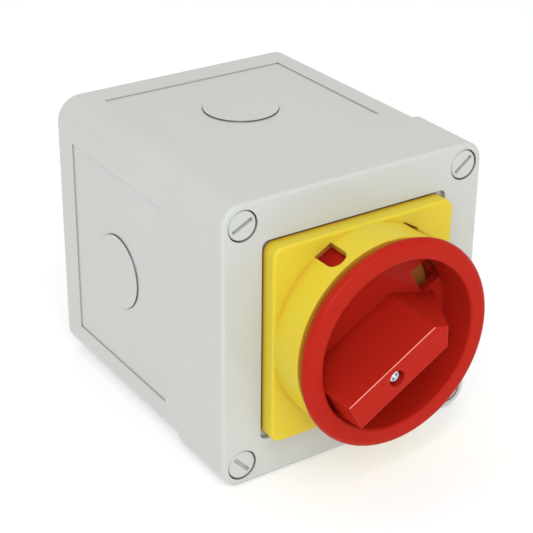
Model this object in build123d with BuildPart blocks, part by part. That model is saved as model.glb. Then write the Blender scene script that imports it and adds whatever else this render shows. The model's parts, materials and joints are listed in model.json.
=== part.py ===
"""Enclosed rotary isolator switch: grey box, yellow front plate, red padlockable handle.

The wall plane is Y = 0 and the switch faces -Y.  X is to the right as seen from the front and
Z is up.  The origin is the centre of the box's back face.  All sizes are in millimetres.
"""
from build123d import *
from math import cos, radians, sin
import os

# ---------------------------------------------------------------- driving dimensions
BOX = 92.0                 # outer width and height of the lid
DEPTH = 100.0              # back of the box to the front of the lid
PART_LINE = 75.0           # depth of the base
PART_GAP = 0.3             # shadow gap between base and lid
WALL = 2.8
BASE_INSET = 0.4           # the base is this much smaller than the lid on every side
BASE_DRAFT = 0.5           # and narrows this much more towards the wall
BASE_CORNER = 8.0
LID_CORNER = 6.5
BACK_WALL = 3.0
LID_FRONT = 4.0
LID_HOLE_R = 17.0

PANEL_DEPTH = 0.45         # recessed panels on the four sides of the base
PANEL_NEAR = 10.0
PANEL_FAR = 66.2
PANEL_HALF = 33.0
KNOCKOUT_Y = 38.2
KNOCKOUT_R = 11.9
KNOCKOUT_GROOVE = 0.65     # width of the thin ring that breaks out
KNOCKOUT_GROOVE_DEPTH = 0.4
KNOCKOUT_FLARE = 25.0      # degrees, both sides of that ring
KNOCKOUT_DISC_R = 9.3
KNOCKOUT_SLOPE = 55.0      # degrees, inner side of the raised ring
KNOCKOUT_THICK = 1.3

SCREW_AT = 39.2            # lid screws, from the centre in X and Z
SCREW_HEAD_R = 4.5
SCREW_WELL_R = 4.9
SCREW_HEAD_DEPTH = 3.6
SCREW_SHANK_R = 2.3
SCREW_SLOTS = {(-1, 1): 26, (1, 1): 37, (-1, -1): -47, (1, -1): 12}   # degrees, by corner
FIXING_AT = 31.0           # wall fixing holes, from the centre in X and Z
FIXING_R = 2.4
BOSS_X = 21.0              # bosses that carry the mounting plate
BOSS_Z = 29.0
BOSS_R = 4.0
GROOVE_OUTER = 44.8        # sealing groove in the lid's rim, half widths
GROOVE_INNER = 43.6

PLATE = 64.0               # standard 64 mm front plate
PLATE_RECESS = 65.6
RECESS_DEPTH = 1.5
PLATE_PROUD = 4.8
PLATE_CORNER = 3.5
GASKET_THICK = 0.7
COLLAR_R = 31.5
COLLAR_BORE_R = 28.6
COLLAR_FRONT = 16.0        # in front of the lid
WINDOW_WIDTH = 6.5
WINDOW_TOP = 13.9
WINDOW_REACH = 0.2         # the window's pocket runs this far past the collar
CHANNEL_FLOOR = 1.4        # round channel in the plate for the handle's skirt
CHANNEL_INNER_R = 15.5
PLATE_SCREW_AT = 27.0      # from the centre in X and Z
PLATE_SCREW_R = 1.4
WINDOW_ANGLES = (59.0, 119.0, 239.0)

GRIP_ANGLE = 30.0          # the grip bar points here when ON
RIM_R = 32.9
RIM_WIDEST = 20.2          # the rim narrows behind this height and is rounded in front of it
RIM_BACK = 17.0
RIM_FRONT = 22.4
RIM_BACK_SLOPE = 35.0      # degrees
BOWL_R = 26.8
BOWL_FOOT_R = 26.0
BOWL_FLOOR = 9.8
FLOOR_THICK = 2.5
DRUM_R = 28.0
DRUM_BACK = 2.2
SKIRT_WALL = 2.0
GRIP_TOP = 30.8
HUB_R = 12.0
HUB_BORE_R = 12.05
HUB_BACK = -1.4
HANDLE_SCREW_U = -8.3      # along the grip from the turning axis
HANDLE_SCREW_R = 1.5
HANDLE_SCREW_DEPTH = 3.2   # seat of its head below the top of the grip
HUB_SCREW_V = 8.3          # across the grip, on both sides of the turning axis
HUB_SCREW_R = 1.2
COUPLER_FLANGE = 3.0
COUPLER_LENGTH = 12.6
SEAL_T = 2.0               # middle of the hub's sealing ring

SPINDLE = 7.0              # across the flats of the square spindle
JOURNAL_R = 5.0
SWITCH = 44.0              # width and height of the switch body
STAGE_DEPTH = 14.0
STAGE_FLOOR = 2.0
STAGES = 2
CAM_LOW_R = 6.2
CAM_LIFT = 2.4             # the cam's radius grows this much in a quarter turn
CAM_THICK = 8.0
PLUNGER_HALF = 2.5
TERMINAL_X = 11.1          # middle of the terminal strips
TERMINAL_SCREW_Z = 17.25
BUTTON_Z = 9.0             # contact buttons, above and below the axis
PORT_X = 14.6              # wire ports in the top and bottom of each stage
PORT_FLOOR = 17.0
BORE_R = 5.4               # clearance for the spindle
PIN_R = 3.0                # rear pin of the spindle
TIE_R = 1.5
EARTH_X = 6.0              # earth screws
EARTH_Z = -28.0
EARTH_THICK = 8.0
TIE_X = 5.0
TIE_Z = 17.0

# ---------------------------------------------------------------- stack of the switch body
PLATE_Y = 8.0              # back of the mounting plate, from the wall
PLATE_THICK = 1.5
END_Y = PLATE_Y + PLATE_THICK
END_THICK = 3.0
STAGE_Y = END_Y + END_THICK
DETENT_Y = STAGE_Y + STAGES * STAGE_DEPTH
DETENT_DEPTH = 10.0
BEARING_Y = DETENT_Y + DETENT_DEPTH
BEARING_THICK = 3.5
SWITCH_FRONT = BEARING_Y + BEARING_THICK
SPINDLE_FRONT = 92.0
FLOOR_INSIDE = BOX / 2 - BASE_INSET - WALL

os.makedirs("parts", exist_ok=True)


def facing(depth, turn=0.0):
    """A plane facing the viewer, a given depth in front of the wall, turned in its own plane."""
    angle = radians(turn)
    return Plane(origin=(0, -depth, 0), x_dir=(cos(angle), 0, sin(angle)), z_dir=(0, -1, 0))


def ahead(height, turn=0.0):
    """A plane facing the viewer, a given height in front of the lid."""
    return facing(DEPTH + height, turn)


def save(piece, name):
    """Name a finished piece and write it to its own file."""
    piece.part.label = name
    export_step(piece.part, f"parts/{name}.step")


def four_corners(x, z=None):
    """Four points placed the same way in each quarter."""
    z = x if z is None else z
    return GridLocations(2 * x, 2 * z, 2, 2)


def stage_middle(number):
    """Depth of the middle of one stage's contact space."""
    return STAGE_Y + number * STAGE_DEPTH + STAGE_FLOOR + (STAGE_DEPTH - STAGE_FLOOR) / 2


def base_side(side):
    """The drafted outer face of one side of the base, its Y axis pointing to the wall."""
    top = BOX / 2 - BASE_INSET - BASE_DRAFT
    face = Plane(origin=(0, 0, top), x_dir=(1, 0, 0), z_dir=(0, BASE_DRAFT / PART_LINE, 1))
    return Plane(Rot(0, 90 * side, 0) * face.location)


# ---------------------------------------------------------------- enclosure
def make_base_box():
    """Deep moulded box with recessed side panels, knock-outs, screw pillars and bosses."""
    front_half = BOX / 2 - BASE_INSET
    back_half = front_half - BASE_DRAFT
    panel_length = PANEL_FAR - PANEL_NEAR
    with BuildPart() as base_box:
        with BuildSketch(facing(0)):
            RectangleRounded(2 * back_half, 2 * back_half, BASE_CORNER)
        with BuildSketch(facing(PART_LINE - PART_GAP)):
            RectangleRounded(2 * front_half, 2 * front_half, BASE_CORNER)
        loft()
        fillet(base_box.faces().sort_by(Axis.Y)[-1].edges(), 1.0)
        with BuildSketch(facing(BACK_WALL)):
            RectangleRounded(2 * FLOOR_INSIDE, 2 * FLOOR_INSIDE, BASE_CORNER - WALL)
        extrude(amount=PART_LINE, mode=Mode.SUBTRACT)
        with BuildSketch(facing(BACK_WALL - 0.2)):
            with four_corners(SCREW_AT):
                Circle(SCREW_HEAD_R + 0.4)
            with four_corners(BOSS_X, BOSS_Z):
                Circle(BOSS_R)
        extrude(amount=PLATE_Y - BACK_WALL + 0.2)
        with BuildSketch(facing(PLATE_Y - 0.2)):
            with four_corners(SCREW_AT):
                Circle(SCREW_HEAD_R + 0.4)
        extrude(amount=PART_LINE - PART_GAP - PLATE_Y + 0.2)
        with BuildSketch(facing(PART_LINE)):
            with four_corners(SCREW_AT):
                Circle(SCREW_SHANK_R + 0.1)
        extrude(amount=-28, mode=Mode.SUBTRACT)
        with BuildSketch(facing(PLATE_Y)):
            with four_corners(BOSS_X, BOSS_Z):
                Circle(1.3)
        extrude(amount=-5.5, mode=Mode.SUBTRACT)
        with BuildSketch(facing(0)):
            with four_corners(FIXING_AT):
                Circle(FIXING_R)
        extrude(amount=BACK_WALL, mode=Mode.SUBTRACT)
        for side in range(4):
            turned = base_side(side)
            with BuildSketch(turned.offset(-PANEL_DEPTH)):
                with Locations((0, -(PANEL_NEAR + PANEL_FAR) / 2)):
                    Rectangle(2 * PANEL_HALF, panel_length)
                with Locations((0, -KNOCKOUT_Y)):
                    Circle(KNOCKOUT_R, mode=Mode.SUBTRACT)
            extrude(amount=3, mode=Mode.SUBTRACT)
            with BuildSketch(turned.offset(-PANEL_DEPTH - KNOCKOUT_GROOVE_DEPTH)):
                with Locations((0, -KNOCKOUT_Y)):
                    Circle(KNOCKOUT_R)
                    Circle(KNOCKOUT_R - KNOCKOUT_GROOVE, mode=Mode.SUBTRACT)
            depth = PANEL_DEPTH + KNOCKOUT_GROOVE_DEPTH
            extrude(amount=depth, taper=-KNOCKOUT_FLARE, mode=Mode.SUBTRACT)
            with BuildSketch(turned.offset(-PANEL_DEPTH)):
                with Locations((0, -KNOCKOUT_Y)):
                    Circle(KNOCKOUT_DISC_R)
            extrude(amount=PANEL_DEPTH, taper=-KNOCKOUT_SLOPE, mode=Mode.SUBTRACT)
            with BuildSketch(turned.offset(-PANEL_DEPTH - KNOCKOUT_THICK)):
                with Locations((0, -KNOCKOUT_Y)):
                    Circle(KNOCKOUT_R - 1.2)
            extrude(amount=-3, mode=Mode.SUBTRACT)
    save(base_box, "base_box")


def make_lid():
    """Front cover with a square recess for the yellow plate and four screw wells."""
    inside = BOX / 2 - WALL
    with BuildPart() as lid:
        with BuildSketch(facing(PART_LINE)):
            RectangleRounded(BOX, BOX, LID_CORNER)
        extrude(amount=DEPTH - PART_LINE)
        fillet(lid.faces().sort_by(Axis.Y)[0].edges(), 1.1)
        with BuildSketch(facing(PART_LINE)):
            RectangleRounded(2 * inside, 2 * inside, LID_CORNER - WALL)
        extrude(amount=DEPTH - PART_LINE - LID_FRONT, mode=Mode.SUBTRACT)
        with BuildSketch(facing(PART_LINE)):
            with four_corners(SCREW_AT):
                Circle(SCREW_WELL_R + 0.4)
        extrude(amount=DEPTH - PART_LINE - 1)
        with BuildSketch(facing(PART_LINE - 0.1)):
            RectangleRounded(2 * GROOVE_OUTER, 2 * GROOVE_OUTER, LID_CORNER - 1.2)
            RectangleRounded(2 * GROOVE_INNER, 2 * GROOVE_INNER, LID_CORNER - 2.4, mode=Mode.SUBTRACT)
        extrude(amount=1.6, mode=Mode.SUBTRACT)
        with BuildSketch(facing(PART_LINE)):
            with four_corners(SCREW_AT):
                Circle(SCREW_SHANK_R + 0.25)
            with four_corners(PLATE_SCREW_AT):
                Circle(PLATE_SCREW_R + 0.2)
            Circle(LID_HOLE_R)
        extrude(amount=DEPTH - PART_LINE, mode=Mode.SUBTRACT)
        with BuildSketch(ahead(0)):
            with four_corners(SCREW_AT):
                Circle(SCREW_WELL_R)
        extrude(amount=-SCREW_HEAD_DEPTH - 0.4, mode=Mode.SUBTRACT)
        with BuildSketch(ahead(0)):
            RectangleRounded(PLATE_RECESS, PLATE_RECESS, 2)
        extrude(amount=-RECESS_DEPTH, mode=Mode.SUBTRACT)
    save(lid, "lid")


def make_lid_gasket():
    """Square sealing ring in the groove of the lid's rim."""
    with BuildPart() as lid_gasket:
        with BuildSketch(facing(PART_LINE - PART_GAP + 0.05)):
            outer = 2 * (GROOVE_OUTER - 0.05)
            inner = 2 * (GROOVE_INNER + 0.05)
            RectangleRounded(outer, outer, LID_CORNER - 1.25)
            RectangleRounded(inner, inner, LID_CORNER - 2.35, mode=Mode.SUBTRACT)
        extrude(amount=1.7)
    save(lid_gasket, "lid_gasket")


def make_lid_screws():
    """Four slotted plastic screws, flush in their wells."""
    with BuildPart() as lid_screws:
        for (side, level), angle in SCREW_SLOTS.items():
            place = Location((side * SCREW_AT, level * SCREW_AT))
            with BuildSketch(ahead(-SCREW_HEAD_DEPTH - 0.1)):
                with Locations(place):
                    Circle(SCREW_HEAD_R)
            head = extrude(amount=SCREW_HEAD_DEPTH - 0.1)
            chamfer(head.faces().sort_by(Axis.Y)[0].edges(), 0.3)
            with BuildSketch(ahead(-SCREW_HEAD_DEPTH - 0.1)):
                with Locations(place):
                    Circle(SCREW_SHANK_R)
            extrude(amount=-(DEPTH - PART_LINE) - 18)
            with BuildSketch(ahead(-1.5)):
                with Locations(place):
                    Rectangle(7.2, 1.3, rotation=angle)
            extrude(amount=3, mode=Mode.SUBTRACT)
    save(lid_screws, "lid_screws")


# ---------------------------------------------------------------- front plate
def make_front_plate():
    """Yellow plate with a raised collar whose windows take padlock shackles."""
    back = -RECESS_DEPTH + GASKET_THICK
    with BuildPart() as front_plate:
        with BuildSketch(ahead(back)):
            RectangleRounded(PLATE, PLATE, PLATE_CORNER)
        extrude(amount=PLATE_PROUD - back)
        fillet(front_plate.faces().sort_by(Axis.Y)[0].edges(), 0.9)
        with BuildSketch(ahead(PLATE_PROUD)):
            Circle(COLLAR_R)
            Circle(COLLAR_BORE_R, mode=Mode.SUBTRACT)
        extrude(amount=COLLAR_FRONT - PLATE_PROUD)
        fillet(front_plate.faces().sort_by(Axis.Y)[0].edges(), 0.5)
        with BuildSketch(ahead(back)):
            with four_corners(PLATE_SCREW_AT):
                Circle(PLATE_SCREW_R + 0.05)
        extrude(amount=PLATE_PROUD - back - 1.2, mode=Mode.SUBTRACT)
        with BuildSketch(ahead(back)):
            Circle(HUB_BORE_R)
        extrude(amount=PLATE_PROUD - back, mode=Mode.SUBTRACT)
        with BuildSketch(ahead(CHANNEL_FLOOR)):
            Circle(COLLAR_BORE_R)
            Circle(CHANNEL_INNER_R, mode=Mode.SUBTRACT)
        extrude(amount=PLATE_PROUD - CHANNEL_FLOOR, mode=Mode.SUBTRACT)
        half = WINDOW_WIDTH / 2
        start = COLLAR_BORE_R - 3
        for angle in WINDOW_ANGLES:
            turn = radians(angle)
            outward = Plane(
                origin=(0, -DEPTH, 0), x_dir=(-sin(turn), 0, cos(turn)), z_dir=(cos(turn), 0, sin(turn))
            )
            lift = 1 if outward.y_dir.Y < 0 else -1
            with BuildSketch(outward.offset(start)):
                with BuildLine():
                    Polyline(
                        (-half, lift * (WINDOW_TOP - half)),
                        (-half, lift * CHANNEL_FLOOR),
                        (half, lift * CHANNEL_FLOOR),
                        (half, lift * (WINDOW_TOP - half)),
                    )
                    ThreePointArc(
                        (half, lift * (WINDOW_TOP - half)),
                        (0, lift * WINDOW_TOP),
                        (-half, lift * (WINDOW_TOP - half)),
                    )
                make_face()
            extrude(amount=COLLAR_R + WINDOW_REACH - start, mode=Mode.SUBTRACT)
    save(front_plate, "front_plate")


def make_front_plate_gasket():
    """Thin square seal between the plate and the lid."""
    with BuildPart() as front_plate_gasket:
        with BuildSketch(ahead(-RECESS_DEPTH)):
            RectangleRounded(PLATE - 1, PLATE - 1, PLATE_CORNER)
            Circle(LID_HOLE_R + 3, mode=Mode.SUBTRACT)
            with four_corners(PLATE_SCREW_AT):
                Circle(PLATE_SCREW_R + 0.2, mode=Mode.SUBTRACT)
        extrude(amount=GASKET_THICK)
    save(front_plate_gasket, "front_plate_gasket")


def make_front_plate_screws():
    """Four screws driven from inside the lid into the yellow plate."""
    with BuildPart() as front_plate_screws:
        with BuildSketch(facing(DEPTH - LID_FRONT)):
            with four_corners(PLATE_SCREW_AT):
                Circle(2 * PLATE_SCREW_R)
        extrude(amount=-2)
        with BuildSketch(facing(DEPTH - LID_FRONT)):
            with four_corners(PLATE_SCREW_AT):
                Circle(PLATE_SCREW_R)
        extrude(amount=LID_FRONT + PLATE_PROUD - 1.8)
        with BuildSketch(facing(DEPTH - LID_FRONT - 2)):
            with four_corners(PLATE_SCREW_AT):
                Rectangle(4.2, 0.8)
                Rectangle(0.8, 4.2)
        extrude(amount=1.1, mode=Mode.SUBTRACT)
    save(front_plate_screws, "front_plate_screws")


# ---------------------------------------------------------------- handle
GRIP_TAIL = -24.8          # along the grip from the turning axis, at its top
GRIP_HIGH_SIDE = 4.6       # either side of the axis, at its top
GRIP_LOW_SIDE = -4.9
GRIP_SHOULDER = 9.1        # where the high side turns in towards the tip
GRIP_TIP = (12.7, 1.2)
GRIP_HEEL = (9.4, -4.9)    # where the tip's steep facet meets the low side
GRIP_DRAFT = 4.0           # degrees
TIP_SLOPE = 29.0           # degrees from upright, on the facet between tip and heel
SLOT_LOW = -3.1            # sides of a padlock slot, either side of its own radius
SLOT_HIGH = 6.2
SLOT_INNER = 18.6
SLOT_FOOT = 4.4            # the skirt is closed behind this height
SLOT_ANGLES = (GRIP_ANGLE, GRIP_ANGLE - 60, GRIP_ANGLE + 120)


def make_grip():
    """Tapering bar across the bowl, with a pointed end cut by a sloping facet."""
    tip_u, tip_v = GRIP_TIP
    heel_u, heel_v = GRIP_HEEL
    slant = (tip_u - GRIP_SHOULDER) / (GRIP_HIGH_SIDE - tip_v)
    far_u = GRIP_SHOULDER + slant * (GRIP_HIGH_SIDE - GRIP_LOW_SIDE)
    top = ahead(GRIP_TOP, GRIP_ANGLE)
    along = (top.x_dir * (tip_u - heel_u) + top.y_dir * (tip_v - heel_v)).normalized()
    outward = along.cross(top.z_dir)
    facing_out = outward * cos(radians(TIP_SLOPE)) + top.z_dir * sin(radians(TIP_SLOPE))
    facet = Plane(origin=top.from_local_coords(Vector(tip_u, tip_v, 0)), z_dir=facing_out)
    with BuildPart() as grip:
        with BuildSketch(top):
            with BuildLine():
                Polyline(
                    (GRIP_TAIL, GRIP_LOW_SIDE),
                    (far_u, GRIP_LOW_SIDE),
                    (GRIP_SHOULDER, GRIP_HIGH_SIDE),
                    (GRIP_TAIL, GRIP_HIGH_SIDE),
                    close=True,
                )
            make_face()
        extrude(amount=-(GRIP_TOP - BOWL_FLOOR + 0.4), taper=-GRIP_DRAFT)
        split(bisect_by=facet, keep=Keep.BOTTOM)
        fillet(grip.faces().sort_by(Axis.Y)[0].edges(), 0.45)
    return grip.part


def make_handle():
    """Round red handle: a bowl inside a broad rim, crossed by the grip bar."""
    grip = make_grip()
    with BuildPart() as handle:
        with BuildSketch(ahead(RIM_WIDEST)):
            Circle(RIM_R)
        rim = extrude(amount=RIM_FRONT - RIM_WIDEST)
        fillet(rim.faces().sort_by(Axis.Y)[0].edges(), RIM_FRONT - RIM_WIDEST - 0.1)
        with BuildSketch(ahead(RIM_WIDEST)):
            Circle(RIM_R)
        extrude(amount=RIM_BACK - RIM_WIDEST, taper=RIM_BACK_SLOPE)
        with BuildSketch(ahead(DRUM_BACK)):
            Circle(DRUM_R)
        extrude(amount=RIM_BACK - DRUM_BACK + 1)
        with BuildSketch(ahead(DRUM_BACK)):
            Circle(DRUM_R - SKIRT_WALL)
        extrude(amount=BOWL_FLOOR - FLOOR_THICK - DRUM_BACK, mode=Mode.SUBTRACT)
        with BuildSketch(ahead(BOWL_FLOOR)):
            Circle(BOWL_FOOT_R)
        with BuildSketch(ahead(RIM_FRONT)):
            Circle(BOWL_R)
        loft(mode=Mode.SUBTRACT)
        mouth = handle.edges().filter_by(GeomType.CIRCLE).sort_by(Axis.Y)
        mouth = mouth.filter_by(lambda edge: abs(edge.radius - BOWL_R) < 0.01)
        fillet(mouth, 0.9)
        with BuildSketch(ahead(BOWL_FLOOR - FLOOR_THICK + 0.5)):
            Circle(HUB_R)
        extrude(amount=-(BOWL_FLOOR - FLOOR_THICK + 0.5 - HUB_BACK))
        add(grip)
        for angle in SLOT_ANGLES:
            width = SLOT_HIGH - SLOT_LOW
            with BuildSketch(ahead(SLOT_FOOT, angle)):
                with Locations(((SLOT_INNER + BOWL_FOOT_R) / 2, (SLOT_LOW + SLOT_HIGH) / 2)):
                    Rectangle(BOWL_FOOT_R - SLOT_INNER, width)
            extrude(amount=BOWL_FLOOR + 6 - SLOT_FOOT, mode=Mode.SUBTRACT)
            with BuildSketch(ahead(SLOT_FOOT, angle)):
                with Locations((BOWL_FOOT_R, (SLOT_LOW + SLOT_HIGH) / 2)):
                    Rectangle(8, width)
            extrude(amount=BOWL_FLOOR + 0.6 - SLOT_FOOT, mode=Mode.SUBTRACT)
        with BuildSketch(ahead(GRIP_TOP, GRIP_ANGLE)):
            with Locations((HANDLE_SCREW_U, 0)):
                Circle(2.65)
        extrude(amount=-HANDLE_SCREW_DEPTH, mode=Mode.SUBTRACT)
        with BuildSketch(ahead(GRIP_TOP, GRIP_ANGLE)):
            with Locations((HANDLE_SCREW_U, 0)):
                Circle(HANDLE_SCREW_R + 0.1)
        extrude(amount=-(GRIP_TOP - HUB_BACK), mode=Mode.SUBTRACT)
        with BuildSketch(ahead(SEAL_T - 0.85)):
            Circle(HUB_R + 0.2)
            Circle(10.4, mode=Mode.SUBTRACT)
        extrude(amount=1.7, mode=Mode.SUBTRACT)
        with BuildSketch(ahead(HUB_BACK, GRIP_ANGLE)):
            with Locations((0, HUB_SCREW_V), (0, -HUB_SCREW_V)):
                Circle(HUB_SCREW_R + 0.05)
        extrude(amount=6, mode=Mode.SUBTRACT)
    save(handle, "handle")


def make_handle_screw():
    """Small cross-head screw in the top of the grip, clamping handle and coupler."""
    with BuildPart() as handle_screw:
        with BuildSketch(ahead(GRIP_TOP - HANDLE_SCREW_DEPTH, GRIP_ANGLE)):
            with Locations((HANDLE_SCREW_U, 0)):
                Circle(2.2)
        head = extrude(amount=1.9)
        fillet(head.faces().sort_by(Axis.Y)[0].edges(), 0.8)
        with BuildSketch(ahead(GRIP_TOP - HANDLE_SCREW_DEPTH, GRIP_ANGLE)):
            with Locations((HANDLE_SCREW_U, 0)):
                Circle(HANDLE_SCREW_R)
        extrude(amount=HUB_BACK - COUPLER_FLANGE - GRIP_TOP + HANDLE_SCREW_DEPTH)
        with BuildSketch(ahead(GRIP_TOP - 1.3, GRIP_ANGLE)):
            with Locations((HANDLE_SCREW_U, 0)):
                Rectangle(2.4, 0.55, rotation=20)
                Rectangle(2.4, 0.55, rotation=110)
        extrude(amount=-1.1, mode=Mode.SUBTRACT)
    save(handle_screw, "handle_screw")


def make_shaft_seal():
    """Rubber ring in the groove of the handle's hub."""
    with BuildPart() as shaft_seal:
        with BuildSketch(Plane.XY):
            with Locations((HUB_R - 0.8, -(DEPTH + SEAL_T))):
                Circle(0.75)
        revolve(axis=Axis.Y)
    save(shaft_seal, "shaft_seal")


def make_drive_coupler():
    """Flange behind the yellow plate with a square socket that slides over the spindle."""
    with BuildPart() as drive_coupler:
        with BuildSketch(ahead(HUB_BACK)):
            Circle(15)
        extrude(amount=-COUPLER_FLANGE)
        with BuildSketch(ahead(HUB_BACK - COUPLER_FLANGE)):
            Circle(8)
        extrude(amount=-COUPLER_LENGTH)
        with BuildSketch(ahead(HUB_BACK - COUPLER_FLANGE - COUPLER_LENGTH)):
            Rectangle(SPINDLE + 0.2, SPINDLE + 0.2)
        extrude(amount=11, mode=Mode.SUBTRACT)
        with BuildSketch(ahead(HUB_BACK, GRIP_ANGLE)):
            with Locations((HANDLE_SCREW_U, 0)):
                Circle(HANDLE_SCREW_R + 0.02)
            with Locations((0, HUB_SCREW_V), (0, -HUB_SCREW_V)):
                Circle(HUB_SCREW_R + 0.3)
        extrude(amount=-COUPLER_FLANGE, mode=Mode.SUBTRACT)
        with BuildSketch(ahead(HUB_BACK - COUPLER_FLANGE, GRIP_ANGLE)):
            with Locations((HANDLE_SCREW_U, 0), (0, HUB_SCREW_V), (0, -HUB_SCREW_V)):
                Circle(2.7)
        extrude(amount=-13, mode=Mode.SUBTRACT)
    save(drive_coupler, "drive_coupler")


def make_coupler_screws():
    """Two short screws from behind, through the coupler flange into the hub."""
    with BuildPart() as coupler_screws:
        with BuildSketch(ahead(HUB_BACK - COUPLER_FLANGE, GRIP_ANGLE)):
            with Locations((0, HUB_SCREW_V), (0, -HUB_SCREW_V)):
                Circle(2 * HUB_SCREW_R)
        extrude(amount=-1.6)
        with BuildSketch(ahead(HUB_BACK - COUPLER_FLANGE, GRIP_ANGLE)):
            with Locations((0, HUB_SCREW_V), (0, -HUB_SCREW_V)):
                Circle(HUB_SCREW_R)
        extrude(amount=8.5)
    save(coupler_screws, "coupler_screws")


# ---------------------------------------------------------------- switch frame
def make_mounting_plate():
    """Steel plate on the bosses of the base, carrying the switch body."""
    with BuildPart() as mounting_plate:
        with BuildSketch(facing(PLATE_Y)):
            RectangleRounded(50, 66, 2)
            with four_corners(BOSS_X, BOSS_Z):
                Circle(1.7, mode=Mode.SUBTRACT)
            with four_corners(TIE_X, TIE_Z):
                Circle(TIE_R + 0.1, mode=Mode.SUBTRACT)
            Circle(PIN_R + 0.4, mode=Mode.SUBTRACT)
            with Locations((-EARTH_X, EARTH_Z), (EARTH_X, EARTH_Z)):
                Circle(1.5, mode=Mode.SUBTRACT)
        extrude(amount=PLATE_THICK)
    save(mounting_plate, "mounting_plate")


def pan_screws(name, points, seat, head_r, shank_r, reach):
    """A group of pan-head screws facing the viewer, with cross slots."""
    with BuildPart() as screws:
        with BuildSketch(facing(seat)):
            with Locations(*points):
                Circle(head_r)
        extrude(amount=2)
        with BuildSketch(facing(seat)):
            with Locations(*points):
                Circle(shank_r)
        extrude(amount=-reach)
        with BuildSketch(facing(seat + 2)):
            with Locations(*points):
                Rectangle(1.5 * head_r, 0.8)
                Rectangle(0.8, 1.5 * head_r)
        extrude(amount=-1.1, mode=Mode.SUBTRACT)
    save(screws, name)


def make_rear_end_plate():
    """Moulded plate that closes the back of the contact stack."""
    with BuildPart() as rear_end_plate:
        with BuildSketch(facing(END_Y)):
            RectangleRounded(SWITCH, SWITCH, 3)
            Circle(PIN_R + 0.05, mode=Mode.SUBTRACT)
            with four_corners(TIE_X, TIE_Z):
                Circle(TIE_R + 0.1, mode=Mode.SUBTRACT)
        extrude(amount=END_THICK)
    save(rear_end_plate, "rear_end_plate")


def make_stage_housing(number):
    """One contact stage: cam space, two plunger guides, bridge chambers and terminal bays."""
    back = STAGE_Y + number * STAGE_DEPTH
    middle = stage_middle(number)
    with BuildPart() as housing:
        with BuildSketch(facing(back)):
            RectangleRounded(SWITCH, SWITCH, 3)
        extrude(amount=STAGE_DEPTH)
        with BuildSketch(facing(back + STAGE_FLOOR)):
            Circle(9.4)
            Rectangle(22, 2 * PLUNGER_HALF + 0.2)
            with Locations((-15, 0), (15, 0)):
                Rectangle(10, 25)
            with four_corners(17, TERMINAL_SCREW_Z):
                Rectangle(14, 6.5)
        extrude(amount=STAGE_DEPTH - STAGE_FLOOR, mode=Mode.SUBTRACT)
        with BuildSketch(facing(middle - 3.1)):
            with four_corners(TERMINAL_X, 13):
                Rectangle(1.8, 3)
        extrude(amount=6.2, mode=Mode.SUBTRACT)
        with BuildSketch(facing(back)):
            Circle(BORE_R)
            with four_corners(TIE_X, TIE_Z):
                Circle(TIE_R + 0.1)
        extrude(amount=STAGE_DEPTH, mode=Mode.SUBTRACT)
        with BuildSketch(Plane.XY.offset(-SWITCH)):
            with Locations((-PORT_X, -middle), (PORT_X, -middle)):
                Circle(1.9)
        extrude(amount=SWITCH - PORT_FLOOR, mode=Mode.SUBTRACT)
        with BuildSketch(Plane.XY.offset(PORT_FLOOR)):
            with Locations((-PORT_X, -middle), (PORT_X, -middle)):
                Circle(1.9)
        extrude(amount=SWITCH, mode=Mode.SUBTRACT)
    save(housing, f"stage_housing_{number + 1}")


def make_terminals(number):
    """Four brass strips, each with a contact button inside and a screw hole outside."""
    middle = stage_middle(number)
    with BuildPart() as terminals:
        with BuildSketch(facing(middle - 3)):
            with four_corners(TERMINAL_X, 13.3):
                Rectangle(1.6, 13)
        extrude(amount=6)
        for side in (-1, 1):
            with BuildSketch(Plane.YZ.offset(side * 11.9)):
                with Locations((-middle, BUTTON_Z), (-middle, -BUTTON_Z)):
                    Circle(1.8)
            extrude(amount=side * 0.6)
            with BuildSketch(Plane.YZ.offset(side * 10.2)):
                with Locations((-middle, TERMINAL_SCREW_Z), (-middle, -TERMINAL_SCREW_Z)):
                    Circle(1.3)
            extrude(amount=side * 2, mode=Mode.SUBTRACT)
    save(terminals, f"terminals_{number + 1}")


def make_terminal_screws(number):
    """Four clamping screws that reach in from the sides of one stage."""
    middle = stage_middle(number)
    with BuildPart() as terminal_screws:
        for side in (-1, 1):
            spots = ((-middle, TERMINAL_SCREW_Z), (-middle, -TERMINAL_SCREW_Z))
            with BuildSketch(Plane.YZ.offset(side * 17.4)):
                with Locations(*spots):
                    Circle(2.6)
            extrude(amount=side * 2.4)
            with BuildSketch(Plane.YZ.offset(side * 17.4)):
                with Locations(*spots):
                    Circle(1.25)
            extrude(amount=side * -7)
            with BuildSketch(Plane.YZ.offset(side * 18.6)):
                with Locations(*spots):
                    Rectangle(6, 0.8)
            extrude(amount=side * 2, mode=Mode.SUBTRACT)
    save(terminal_screws, f"terminal_screws_{number + 1}")


def make_detent_housing():
    """Frame around the star wheel that holds the two leaf springs."""
    with BuildPart() as detent_housing:
        with BuildSketch(facing(DETENT_Y)):
            RectangleRounded(SWITCH, SWITCH, 3)
        extrude(amount=DETENT_DEPTH)
        with BuildSketch(facing(DETENT_Y + STAGE_FLOOR)):
            Rectangle(37, 25)
        extrude(amount=DETENT_DEPTH, mode=Mode.SUBTRACT)
        with BuildSketch(facing(DETENT_Y)):
            Circle(BORE_R)
            with four_corners(TIE_X, TIE_Z):
                Circle(TIE_R + 0.1)
        extrude(amount=DETENT_DEPTH, mode=Mode.SUBTRACT)
    save(detent_housing, "detent_housing")


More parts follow.
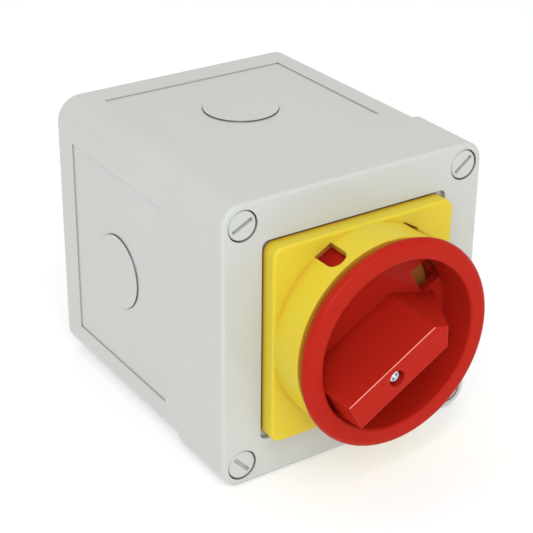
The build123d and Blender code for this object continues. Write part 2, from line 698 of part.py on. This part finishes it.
def make_detent_springs():
    """Two bent leaf springs whose noses sit in the notches of the star wheel."""
    with BuildPart() as detent_springs:
        for level in (-1, 1):
            with BuildSketch(facing(DETENT_Y + STAGE_FLOOR + 1.5)):
                with BuildLine():
                    Polyline(
                        (-18.0, level * 12.0),
                        (-3.2, level * 11.2),
                        (0, level * 9.2),
                        (3.2, level * 11.2),
                        (18.0, level * 12.0),
                        (18.0, level * 12.4),
                        (3.0, level * 11.7),
                        (0, level * 9.8),
                        (-3.0, level * 11.7),
                        (-18.0, level * 12.4),
                        close=True,
                    )
                make_face()
            extrude(amount=5)
    save(detent_springs, "detent_springs")


def make_bearing_plate():
    """Front plate of the switch body, with the bearing for the spindle."""
    with BuildPart() as bearing_plate:
        with BuildSketch(facing(BEARING_Y)):
            RectangleRounded(SWITCH, SWITCH, 3)
        extrude(amount=BEARING_THICK)
        chamfer(bearing_plate.faces().sort_by(Axis.Y)[0].edges(), 0.6)
        with BuildSketch(facing(BEARING_Y)):
            Circle(JOURNAL_R + 0.05)
            with four_corners(TIE_X, TIE_Z):
                Circle(TIE_R + 0.1)
        extrude(amount=BEARING_THICK, mode=Mode.SUBTRACT)
    save(bearing_plate, "bearing_plate")


def make_tie_nuts():
    """Hexagon nuts behind the mounting plate."""
    with BuildPart() as tie_nuts:
        with BuildSketch(facing(PLATE_Y)):
            with four_corners(TIE_X, TIE_Z):
                RegularPolygon(3.0, 6)
                Circle(TIE_R, mode=Mode.SUBTRACT)
        extrude(amount=-2.4)
    save(tie_nuts, "tie_nuts")


def make_earth_terminal():
    """Brass block for the earth wires, below the switch body."""
    with BuildPart() as earth_terminal:
        with BuildSketch(facing(END_Y)):
            with Locations((0, EARTH_Z)):
                Rectangle(20, 7)
        extrude(amount=EARTH_THICK)
        with BuildSketch(facing(END_Y)):
            with Locations((-EARTH_X, EARTH_Z), (EARTH_X, EARTH_Z)):
                Circle(1.5)
        extrude(amount=EARTH_THICK, mode=Mode.SUBTRACT)
        with BuildSketch(Plane.XY.offset(EARTH_Z - 4)):
            with Locations((-EARTH_X, -END_Y - 5), (EARTH_X, -END_Y - 5)):
                Circle(1.9)
        extrude(amount=EARTH_THICK, mode=Mode.SUBTRACT)
        chamfer(earth_terminal.edges().filter_by(Axis.Y).group_by(Axis.X)[0], 0.5)
    save(earth_terminal, "earth_terminal")


# ---------------------------------------------------------------- turning parts of the switch
def make_spindle():
    """Square spindle from the rear pin, through the journal, to the coupler."""
    with BuildPart() as spindle:
        with BuildSketch(facing(STAGE_Y + 0.6)):
            Rectangle(SPINDLE, SPINDLE)
        extrude(amount=SPINDLE_FRONT - STAGE_Y - 0.6)
        chamfer(spindle.faces().sort_by(Axis.Y)[0].edges(), 0.6)
        with BuildSketch(facing(END_Y + 0.4)):
            Circle(PIN_R)
        extrude(amount=END_THICK + 0.4)
        with BuildSketch(facing(BEARING_Y - 0.5)):
            Circle(JOURNAL_R)
        extrude(amount=BEARING_THICK + 1)
    save(spindle, "spindle")


def cam_radius(degrees_round):
    """Two rising and two falling spirals, low on the X axis and high on the Z axis."""
    part_turn = abs((degrees_round + 90) % 180 - 90) / 90
    return CAM_LOW_R + CAM_LIFT * part_turn


def make_cam(number):
    """Cam with a steady rise, so that the contacts lift in step with the handle."""
    middle = stage_middle(number)
    steps = 6
    with BuildPart() as cam:
        with BuildSketch(facing(middle - CAM_THICK / 2)):
            with BuildLine():
                for quarter in range(4):
                    points = []
                    for step in range(steps + 1):
                        degrees_round = 90 * (quarter + step / steps)
                        radius = cam_radius(degrees_round)
                        turn = radians(degrees_round)
                        points.append((radius * cos(turn), radius * sin(turn)))
                    Spline(*points)
            make_face()
            Rectangle(SPINDLE + 0.04, SPINDLE + 0.04, mode=Mode.SUBTRACT)
        extrude(amount=CAM_THICK)
    save(cam, f"cam_{number + 1}")


def make_detent_wheel():
    """Star wheel with a notch for every quarter turn."""
    with BuildPart() as detent_wheel:
        with BuildSketch(facing(DETENT_Y + STAGE_FLOOR + 1)):
            Circle(10.2)
            with PolarLocations(11.0, 4):
                Circle(3, mode=Mode.SUBTRACT)
            Rectangle(SPINDLE + 0.04, SPINDLE + 0.04, mode=Mode.SUBTRACT)
        extrude(amount=6)
        fillet(detent_wheel.edges().filter_by(Axis.Y).group_by(SortBy.DISTANCE)[-1], 0.6)
    save(detent_wheel, "detent_wheel")


# ---------------------------------------------------------------- moving contacts
def make_contact_set(number, side, side_name):
    """Plunger, contact bridge and contact spring on one side of one stage."""
    middle = stage_middle(number)
    stem_r = 1.5
    with BuildPart() as plunger:
        with BuildSketch(facing(middle - CAM_THICK / 2)):
            with BuildLine():
                Polyline(
                    (side * 6.7, 0.6),
                    (side * 8.6, PLUNGER_HALF),
                    (side * 12.4, PLUNGER_HALF),
                    (side * 12.4, -PLUNGER_HALF),
                    (side * 8.6, -PLUNGER_HALF),
                    (side * 6.7, -0.6),
                    close=True,
                )
            make_face()
        extrude(amount=CAM_THICK)
        with BuildSketch(Plane.YZ.offset(side * 12.4)):
            with Locations((-middle, 0)):
                Circle(stem_r)
        extrude(amount=side * 3)
    save(plunger, f"plunger_{side_name}_{number + 1}")
    with BuildPart() as bridge:
        with BuildSketch(Plane.YZ.offset(side * 12.6)):
            with Locations((-middle, 0)):
                Rectangle(5, 22)
                Circle(stem_r + 0.2, mode=Mode.SUBTRACT)
        extrude(amount=side * 1.2)
    save(bridge, f"contact_bridge_{side_name}_{number + 1}")
    wire_r = 0.32
    coil_r = 2.5
    with BuildPart() as spring:
        with BuildLine() as coil:
            Helix(pitch=1.25, height=5.2, radius=coil_r, center=(14.2, 0, 0), direction=(1, 0, 0))
        with BuildSketch(Plane(origin=coil.line @ 0, z_dir=coil.line % 0)):
            Circle(wire_r)
        sweep(is_frenet=True)
    turned = Rot(0, 0, 0 if side > 0 else 180) * spring.part
    spring.part = Pos(0, -middle, 0) * turned
    save(spring, f"contact_spring_{side_name}_{number + 1}")


make_base_box()
make_lid()
make_lid_gasket()
make_lid_screws()
make_front_plate()
make_front_plate_gasket()
make_front_plate_screws()
make_handle()
make_handle_screw()
make_shaft_seal()
make_drive_coupler()
make_coupler_screws()
make_mounting_plate()
boss_points = [(x, z) for x in (-BOSS_X, BOSS_X) for z in (-BOSS_Z, BOSS_Z)]
pan_screws("mounting_plate_screws", boss_points, END_Y, 3.0, 1.2, 6)
make_rear_end_plate()
for stage in range(STAGES):
    make_stage_housing(stage)
    make_terminals(stage)
    make_terminal_screws(stage)
    make_cam(stage)
    make_contact_set(stage, -1, "left")
    make_contact_set(stage, 1, "right")
make_detent_housing()
make_detent_springs()
make_detent_wheel()
make_bearing_plate()
tie_points = [(x, z) for x in (-TIE_X, TIE_X) for z in (-TIE_Z, TIE_Z)]
pan_screws("tie_bolts", tie_points, SWITCH_FRONT, 2.8, TIE_R, SWITCH_FRONT - PLATE_Y + 3)
make_tie_nuts()
make_earth_terminal()
earth_points = [(-EARTH_X, EARTH_Z), (EARTH_X, EARTH_Z)]
pan_screws("earth_terminal_screws", earth_points, END_Y + EARTH_THICK, 2.6, 1.4, EARTH_THICK + 1)
make_spindle()
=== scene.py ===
"""Looks for the enclosed rotary isolator switch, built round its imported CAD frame."""
import json
import math

import bpy
from mathutils import Matrix, Vector


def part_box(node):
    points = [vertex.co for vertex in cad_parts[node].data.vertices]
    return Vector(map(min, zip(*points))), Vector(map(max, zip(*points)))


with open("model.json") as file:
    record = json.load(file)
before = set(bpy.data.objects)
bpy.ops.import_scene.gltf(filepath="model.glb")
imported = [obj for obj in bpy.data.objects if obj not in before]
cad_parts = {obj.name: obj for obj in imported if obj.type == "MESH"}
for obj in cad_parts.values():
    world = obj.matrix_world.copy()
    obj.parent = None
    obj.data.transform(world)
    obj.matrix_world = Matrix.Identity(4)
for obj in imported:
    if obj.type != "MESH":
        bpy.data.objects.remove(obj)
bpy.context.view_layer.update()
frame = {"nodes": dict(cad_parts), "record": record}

# ---------------------------------------------------------------- sizes, in metres
LID_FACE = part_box("lid")[0][1]
FLOOR_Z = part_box("lid")[0][2]
FLOOR_SIZE = 6.0
MIDDLE = Vector((0, LID_FACE / 2, 0))
LIGHT_DISTANCE = 1.2
GRIP_ANGLE = math.radians(30)
COLLAR_BORE = 0.0286   # radius of the hole in the plate's collar
BOWL_FOOT = 0.0260     # radius of the handle's bowl at its floor
CORNER_REACH = 0.006   # how far painted shade reaches into the yellow's corners
SEAM_REACH = 0.0012    # how far painted shade reaches into the grey's seams
EDGE_REACH = 0.0005    # how far plastic edges are rubbed
METAL_EDGE_REACH = 0.0002
# the facing of the ridges that get the painted highlight
UP_FRONT = Vector((-math.sin(GRIP_ANGLE), -1.0, math.cos(GRIP_ANGLE))).normalized()


# ---------------------------------------------------------------- material kit
def new_material(name):
    """An empty node material with one Principled shader, and its tree."""
    material = bpy.data.materials.new(name)
    material.use_nodes = True
    tree = material.node_tree
    tree.nodes.clear()
    out = tree.nodes.new("ShaderNodeOutputMaterial")
    shader = tree.nodes.new("ShaderNodeBsdfPrincipled")
    tree.links.new(shader.outputs["BSDF"], out.inputs["Surface"])
    return material, tree, shader


def noise(tree, scale, detail=3.0, rough=0.55, stretch=None):
    """Noise in object space; scale is features per metre, stretch scales each axis."""
    coords = tree.nodes.new("ShaderNodeTexCoord")
    node = tree.nodes.new("ShaderNodeTexNoise")
    node.inputs["Scale"].default_value = scale
    node.inputs["Detail"].default_value = detail
    node.inputs["Roughness"].default_value = rough
    source = coords.outputs["Object"]
    if stretch:
        mapping = tree.nodes.new("ShaderNodeMapping")
        mapping.inputs["Scale"].default_value = stretch
        tree.links.new(source, mapping.inputs["Vector"])
        source = mapping.outputs["Vector"]
    tree.links.new(source, node.inputs["Vector"])
    return node.outputs["Fac"]


def spread(tree, value, low, high, from_low=0.3, from_high=0.7):
    """Maps a value from one range to another."""
    node = tree.nodes.new("ShaderNodeMapRange")
    node.inputs["From Min"].default_value = from_low
    node.inputs["From Max"].default_value = from_high
    node.inputs["To Min"].default_value = low
    node.inputs["To Max"].default_value = high
    tree.links.new(value, node.inputs["Value"])
    return node.outputs["Result"]


def mix_colours(tree, factor, first, second):
    """Blends two colours, given as tuples or sockets, by a factor socket."""
    node = tree.nodes.new("ShaderNodeMix")
    node.data_type = "RGBA"
    tree.links.new(factor, node.inputs["Factor"])
    for socket, colour in ((node.inputs["A"], first), (node.inputs["B"], second)):
        if isinstance(colour, tuple):
            socket.default_value = (*colour, 1.0)
        else:
            tree.links.new(colour, socket)
    return node.outputs["Result"]


def product(tree, first, second):
    """Multiplies two value sockets."""
    node = tree.nodes.new("ShaderNodeMath")
    node.operation = "MULTIPLY"
    tree.links.new(first, node.inputs[0])
    tree.links.new(second, node.inputs[1])
    return node.outputs["Value"]


def bump(tree, shader, layers):
    """Stacks bump layers, each a (height socket, distance in metres, strength)."""
    normal = None
    for height, distance, strength in layers:
        node = tree.nodes.new("ShaderNodeBump")
        node.inputs["Distance"].default_value = distance
        node.inputs["Strength"].default_value = strength
        tree.links.new(height, node.inputs["Height"])
        if normal:
            tree.links.new(normal, node.inputs["Normal"])
        normal = node.outputs["Normal"]
    tree.links.new(normal, shader.inputs["Normal"])


def worn_edges(tree, reach, low, high):
    """Rises from 0 to 1 within a reach, in metres, of any edge."""
    rounded = tree.nodes.new("ShaderNodeBevel")
    rounded.samples = 6
    rounded.inputs["Radius"].default_value = reach
    geometry = tree.nodes.new("ShaderNodeNewGeometry")
    likeness = tree.nodes.new("ShaderNodeVectorMath")
    likeness.operation = "DOT_PRODUCT"
    tree.links.new(rounded.outputs["Normal"], likeness.inputs[0])
    tree.links.new(geometry.outputs["Normal"], likeness.inputs[1])
    return spread(tree, likeness.outputs["Value"], 1.0, 0.0, low, high)


def nearness(tree, reach, deep, shallow):
    """Rises from 0 in the open to 1 in deep corners, within a reach in metres."""
    node = tree.nodes.new("ShaderNodeAmbientOcclusion")
    node.samples = 8
    node.inputs["Distance"].default_value = reach
    return spread(tree, node.outputs["AO"], 1.0, 0.0, deep, shallow)


def near_axis(tree, inner, outer):
    """1 within an inner distance of the handle's turning axis, 0 beyond an outer one."""
    geometry = tree.nodes.new("ShaderNodeNewGeometry")
    flat = tree.nodes.new("ShaderNodeVectorMath")
    flat.operation = "MULTIPLY"
    flat.inputs[1].default_value = (1.0, 0.0, 1.0)
    radius = tree.nodes.new("ShaderNodeVectorMath")
    radius.operation = "LENGTH"
    tree.links.new(geometry.outputs["Position"], flat.inputs[0])
    tree.links.new(flat.outputs["Vector"], radius.inputs[0])
    return spread(tree, radius.outputs["Value"], 1.0, 0.0, inner, outer)


def painted_ridge_highlight(tree):
    """Painted highlight: rises to 1 on the rounded ridges inside the handle's bowl that face up and
    forward.
    """
    geometry = tree.nodes.new("ShaderNodeNewGeometry")
    local = tree.nodes.new("ShaderNodeVectorTransform")
    local.vector_type = "NORMAL"
    local.convert_from = "WORLD"
    local.convert_to = "OBJECT"
    likeness = tree.nodes.new("ShaderNodeVectorMath")
    likeness.operation = "DOT_PRODUCT"
    turn = frame["nodes"]["handle"].matrix_world.to_3x3().inverted()
    likeness.inputs[1].default_value = turn @ UP_FRONT
    tree.links.new(geometry.outputs["Normal"], local.inputs["Vector"])
    tree.links.new(local.outputs["Vector"], likeness.inputs[0])
    facing = spread(tree, likeness.outputs["Value"], 0.0, 0.85, 0.95, 0.99)
    return product(tree, facing, near_axis(tree, BOWL_FOOT - 0.001, BOWL_FOOT))


def grey_seam_shade(tree):
    """Painted shade in the narrow seams and grooves of the grey box."""
    return nearness(tree, SEAM_REACH, 0.30, 0.85)


def yellow_corner_shade(tree):
    """Painted orange shade in the corners where yellow faces light each other."""
    return nearness(tree, CORNER_REACH, 0.15, 0.65)


def yellow_bore_shade(tree):
    """Painted orange shade and red bounce light on the inside of the yellow collar."""
    return near_axis(tree, COLLAR_BORE, COLLAR_BORE + 0.0004)


def plastic(name, colour, edge, roughness=0.3, grain=0.3, specular=0.5, painted_light=()):
    """Moulded plastic: faint clouding, orange-peel bump, scuffs, rubbed edges and extra tints of
    painted shade and highlight.
    """
    material, tree, shader = new_material(name)
    clouds = spread(tree, noise(tree, 30.0, 3.0), 0.0, 1.0)
    deep = tuple(channel * 0.975 for channel in colour)
    base = mix_colours(tree, clouds, deep, colour)
    wear = worn_edges(tree, EDGE_REACH, 0.80, 0.98)
    broken = spread(tree, noise(tree, 240.0, 4.0, 0.6), 0.25, 1.0, 0.35, 0.6)
    base = mix_colours(tree, product(tree, wear, broken), base, edge)
    # painted shade and highlight tints, laid over the base colour
    for mask, tint in painted_light:
        base = mix_colours(tree, mask(tree), base, tint)
    tree.links.new(base, shader.inputs["Base Color"])
    scuffs = noise(tree, 160.0, 6.0, 0.7, (1.0, 0.25, 1.0))
    tree.links.new(
        spread(tree, scuffs, roughness * 0.85, roughness * 1.25, 0.35, 0.72), shader.inputs["Roughness"]
    )
    shader.inputs["Specular IOR Level"].default_value = specular
    peel = noise(tree, 260.0, 2.0)
    fine = noise(tree, 1900.0, 3.0)
    bump(tree, shader, ((peel, 0.00002, grain), (fine, 0.000002, grain)))
    return material


def metal(name, colour, roughness=0.3, stretch=(1.0, 1.0, 1.0), tarnish=(0.5, 0.45, 0.4)):
    """Plated or drawn metal: fine tool lines, uneven tarnish and brighter edges."""
    material, tree, shader = new_material(name)
    shader.inputs["Metallic"].default_value = 1.0
    blotches = spread(tree, noise(tree, 260.0, 5.0, 0.65), 0.0, 0.35, 0.45, 0.75)
    base = mix_colours(tree, blotches, colour, tuple(a * b for a, b in zip(colour, tarnish)))
    bright = tuple(min(1.0, channel * 1.15) for channel in colour)
    base = mix_colours(tree, worn_edges(tree, METAL_EDGE_REACH, 0.80, 0.98), base, bright)
    tree.links.new(base, shader.inputs["Base Color"])
    lines = noise(tree, 900.0, 4.0, 0.6, stretch)
    tree.links.new(
        spread(tree, lines, roughness * 0.8, roughness * 1.35), shader.inputs["Roughness"]
    )
    bump(tree, shader, ((lines, 0.00001, 0.5),))
    return material


def rubber(name, colour):
    """Matte black rubber with a powdery bloom."""
    material, tree, shader = new_material(name)
    bloom = spread(tree, noise(tree, 300.0, 5.0, 0.7), 0.0, 1.0)
    pale = tuple(channel * 2.2 for channel in colour)
    tree.links.new(mix_colours(tree, bloom, colour, pale), shader.inputs["Base Color"])
    tree.links.new(spread(tree, bloom, 0.65, 0.85, 0.0, 1.0), shader.inputs["Roughness"])
    bump(tree, shader, ((noise(tree, 1800.0, 4.0), 0.00002, 0.5),))
    return material


GREY = (0.545, 0.560, 0.535)
GREY_EDGE = (0.62, 0.63, 0.61)
# painted shade for the grey's seams and grooves
GREY_SEAM_SHADE = (0.22, 0.225, 0.215)
YELLOW = (0.700, 0.555, 0.040)
YELLOW_EDGE = (0.74, 0.60, 0.09)
# painted orange shade for the yellow's corners
YELLOW_CORNER_SHADE = (0.600, 0.235, 0.022)
# painted orange shade and red bounce light inside the yellow collar
YELLOW_BORE_SHADE = (0.980, 0.360, 0.060)
RED = (0.430, 0.0165, 0.0085)
RED_EDGE = (0.49, 0.035, 0.020)
# painted highlight on the handle's ridges
RIDGE_HIGHLIGHT = (0.92, 0.42, 0.38)

materials = {
    "enclosure_grey": plastic(
        "enclosure_grey", GREY, GREY, 0.22, 0.25, 0.35,
        ((grey_seam_shade, GREY_SEAM_SHADE),),
    ),
    "screw_grey": plastic("screw_grey", (0.54, 0.56, 0.54), GREY_EDGE, 0.26, 0.3, 0.35),
    "seal_rubber": rubber("seal_rubber", (0.018, 0.018, 0.018)),
    "plate_yellow": plastic(
        "plate_yellow", YELLOW, YELLOW_EDGE, 0.25, 0.25, 0.15,
        ((yellow_corner_shade, YELLOW_CORNER_SHADE), (yellow_bore_shade, YELLOW_BORE_SHADE)),
    ),
    "handle_red": plastic(
        "handle_red", RED, RED_EDGE, 0.16, 0.2, 0.05,
        ((painted_ridge_highlight, RIDGE_HIGHLIGHT),),
    ),
    "zinc_steel": metal("zinc_steel", (0.66, 0.70, 0.78), 0.24, (1.0, 0.2, 1.0)),
    "coupler_black": plastic("coupler_black", (0.02, 0.02, 0.022), (0.05, 0.05, 0.05), 0.5, 0.6),
    "switch_grey": plastic("switch_grey", (0.10, 0.105, 0.11), (0.16, 0.16, 0.165), 0.5, 0.7),
    "cam_white": plastic("cam_white", (0.72, 0.70, 0.64), (0.78, 0.77, 0.72), 0.45, 0.5),
    "contact_brass": metal("contact_brass", (0.78, 0.56, 0.25), 0.3),
    "spring_steel": metal("spring_steel", (0.5, 0.5, 0.53), 0.22),
}
for subpart in frame["record"]["subparts"]:
    mesh = frame["nodes"][subpart["node"]].data
    for slot in range(max(1, len(mesh.materials))):
        if len(mesh.materials) <= slot:
            mesh.materials.append(None)
        mesh.materials[slot] = materials[subpart["material_slot"]]


# ---------------------------------------------------------------- stage
def make_floor():
    """A wide, nearly white floor with a faint, slow change of tone."""
    bpy.ops.mesh.primitive_plane_add(size=FLOOR_SIZE, location=(0, 0, FLOOR_Z - 0.0002))
    floor = bpy.context.object
    floor.name = "floor"
    material, tree, shader = new_material("floor_paper")
    tone = spread(tree, noise(tree, 3.0, 2.0), 0.0, 1.0)
    paper = mix_colours(tree, tone, (0.60, 0.60, 0.60), (0.62, 0.62, 0.62))
    tree.links.new(paper, shader.inputs["Base Color"])
    shader.inputs["Roughness"].default_value = 0.9
    shader.inputs["Specular IOR Level"].default_value = 0.1
    shader.inputs["Emission Color"].default_value = (1.0, 1.0, 1.0, 1.0)
    shader.inputs["Emission Strength"].default_value = 0.42
    floor.data.materials.append(material)


def strip_light(name, toward, size, power, colour, along):
    """A long softbox in a direction from the switch, its length laid along a direction."""
    data = bpy.data.lights.new(name, "AREA")
    data.shape = "RECTANGLE"
    data.size, data.size_y = size
    data.energy = power
    data.color = colour
    light = bpy.data.objects.new(name, data)
    bpy.context.collection.objects.link(light)
    back = Vector(toward).normalized()
    side = Vector(along)
    side = (side - back * side.dot(back)).normalized()
    turn = Matrix((side, back.cross(side), back)).transposed()
    light.matrix_world = Matrix.Translation(MIDDLE + back * LIGHT_DISTANCE) @ turn.to_4x4()


def make_lights():
    """An even white room, a large key light, a strip that draws the edges, and soft fills."""
    world = bpy.data.worlds.new("studio")
    bpy.context.scene.world = world
    world.use_nodes = True
    background = world.node_tree.nodes["Background"]
    background.inputs["Color"].default_value = (1.0, 1.0, 1.0, 1.0)
    background.inputs["Strength"].default_value = 0.74
    grip = (math.cos(GRIP_ANGLE), 0, math.sin(GRIP_ANGLE))
    strip_light("edge_strip", (-0.24, -0.49, 0.84), (0.45, 0.06), 1.6, (1.0, 0.97, 0.90), grip)
    strip_light("front_spot", (0.11, -0.78, 0.62), (0.08, 0.08), 0.6, (1.0, 1.0, 1.0), grip)
    strip_light("key", (-0.50, -0.66, 0.56), (0.7, 0.7), 4.9, (0.93, 0.97, 1.0), (0, 0, 1))
    strip_light("front_fill", (0.2, -0.97, 0.15), (0.6, 0.6), 1.1, (0.86, 0.94, 1.0), (0, 0, 1))
    strip_light("top_fill", (-0.1, 0.35, 1.0), (0.6, 0.6), 1.0, (1.0, 0.90, 0.70), (1, 0, 0))


# ---------------------------------------------------------------- camera
CAMERA_AZIMUTH = -34.35
CAMERA_ELEVATION = 26.79
CAMERA_ROLL = 0.77
CAMERA_DISTANCE = 0.5073
CAMERA_TARGET = Vector((0.0090, -0.0460, -0.0047))
CAMERA_LENS = 104.85
CAMERA_SHIFT = (-0.0190, -0.0272)


def make_camera():
    """A long lens, high on the left of the front."""
    data = bpy.data.cameras.new("camera")
    data.sensor_width = 36.0
    data.lens = CAMERA_LENS
    data.shift_x, data.shift_y = CAMERA_SHIFT
    data.clip_start = 0.01
    camera = bpy.data.objects.new("camera", data)
    bpy.context.collection.objects.link(camera)
    azimuth = math.radians(CAMERA_AZIMUTH)
    elevation = math.radians(CAMERA_ELEVATION)
    roll = math.radians(CAMERA_ROLL)
    back = Vector(
        (
            math.sin(azimuth) * math.cos(elevation),
            -math.cos(azimuth) * math.cos(elevation),
            math.sin(elevation),
        )
    )
    right = Vector((0, 0, 1)).cross(back).normalized()
    up = back.cross(right)
    right = right * math.cos(roll) + up * math.sin(roll)
    up = back.cross(right)
    turn = Matrix((right, up, back)).transposed()
    camera.matrix_world = Matrix.Translation(CAMERA_TARGET + back * CAMERA_DISTANCE) @ turn.to_4x4()
    bpy.context.scene.camera = camera


make_floor()
make_lights()
make_camera()
bpy.context.scene.view_settings.view_transform = "Standard"
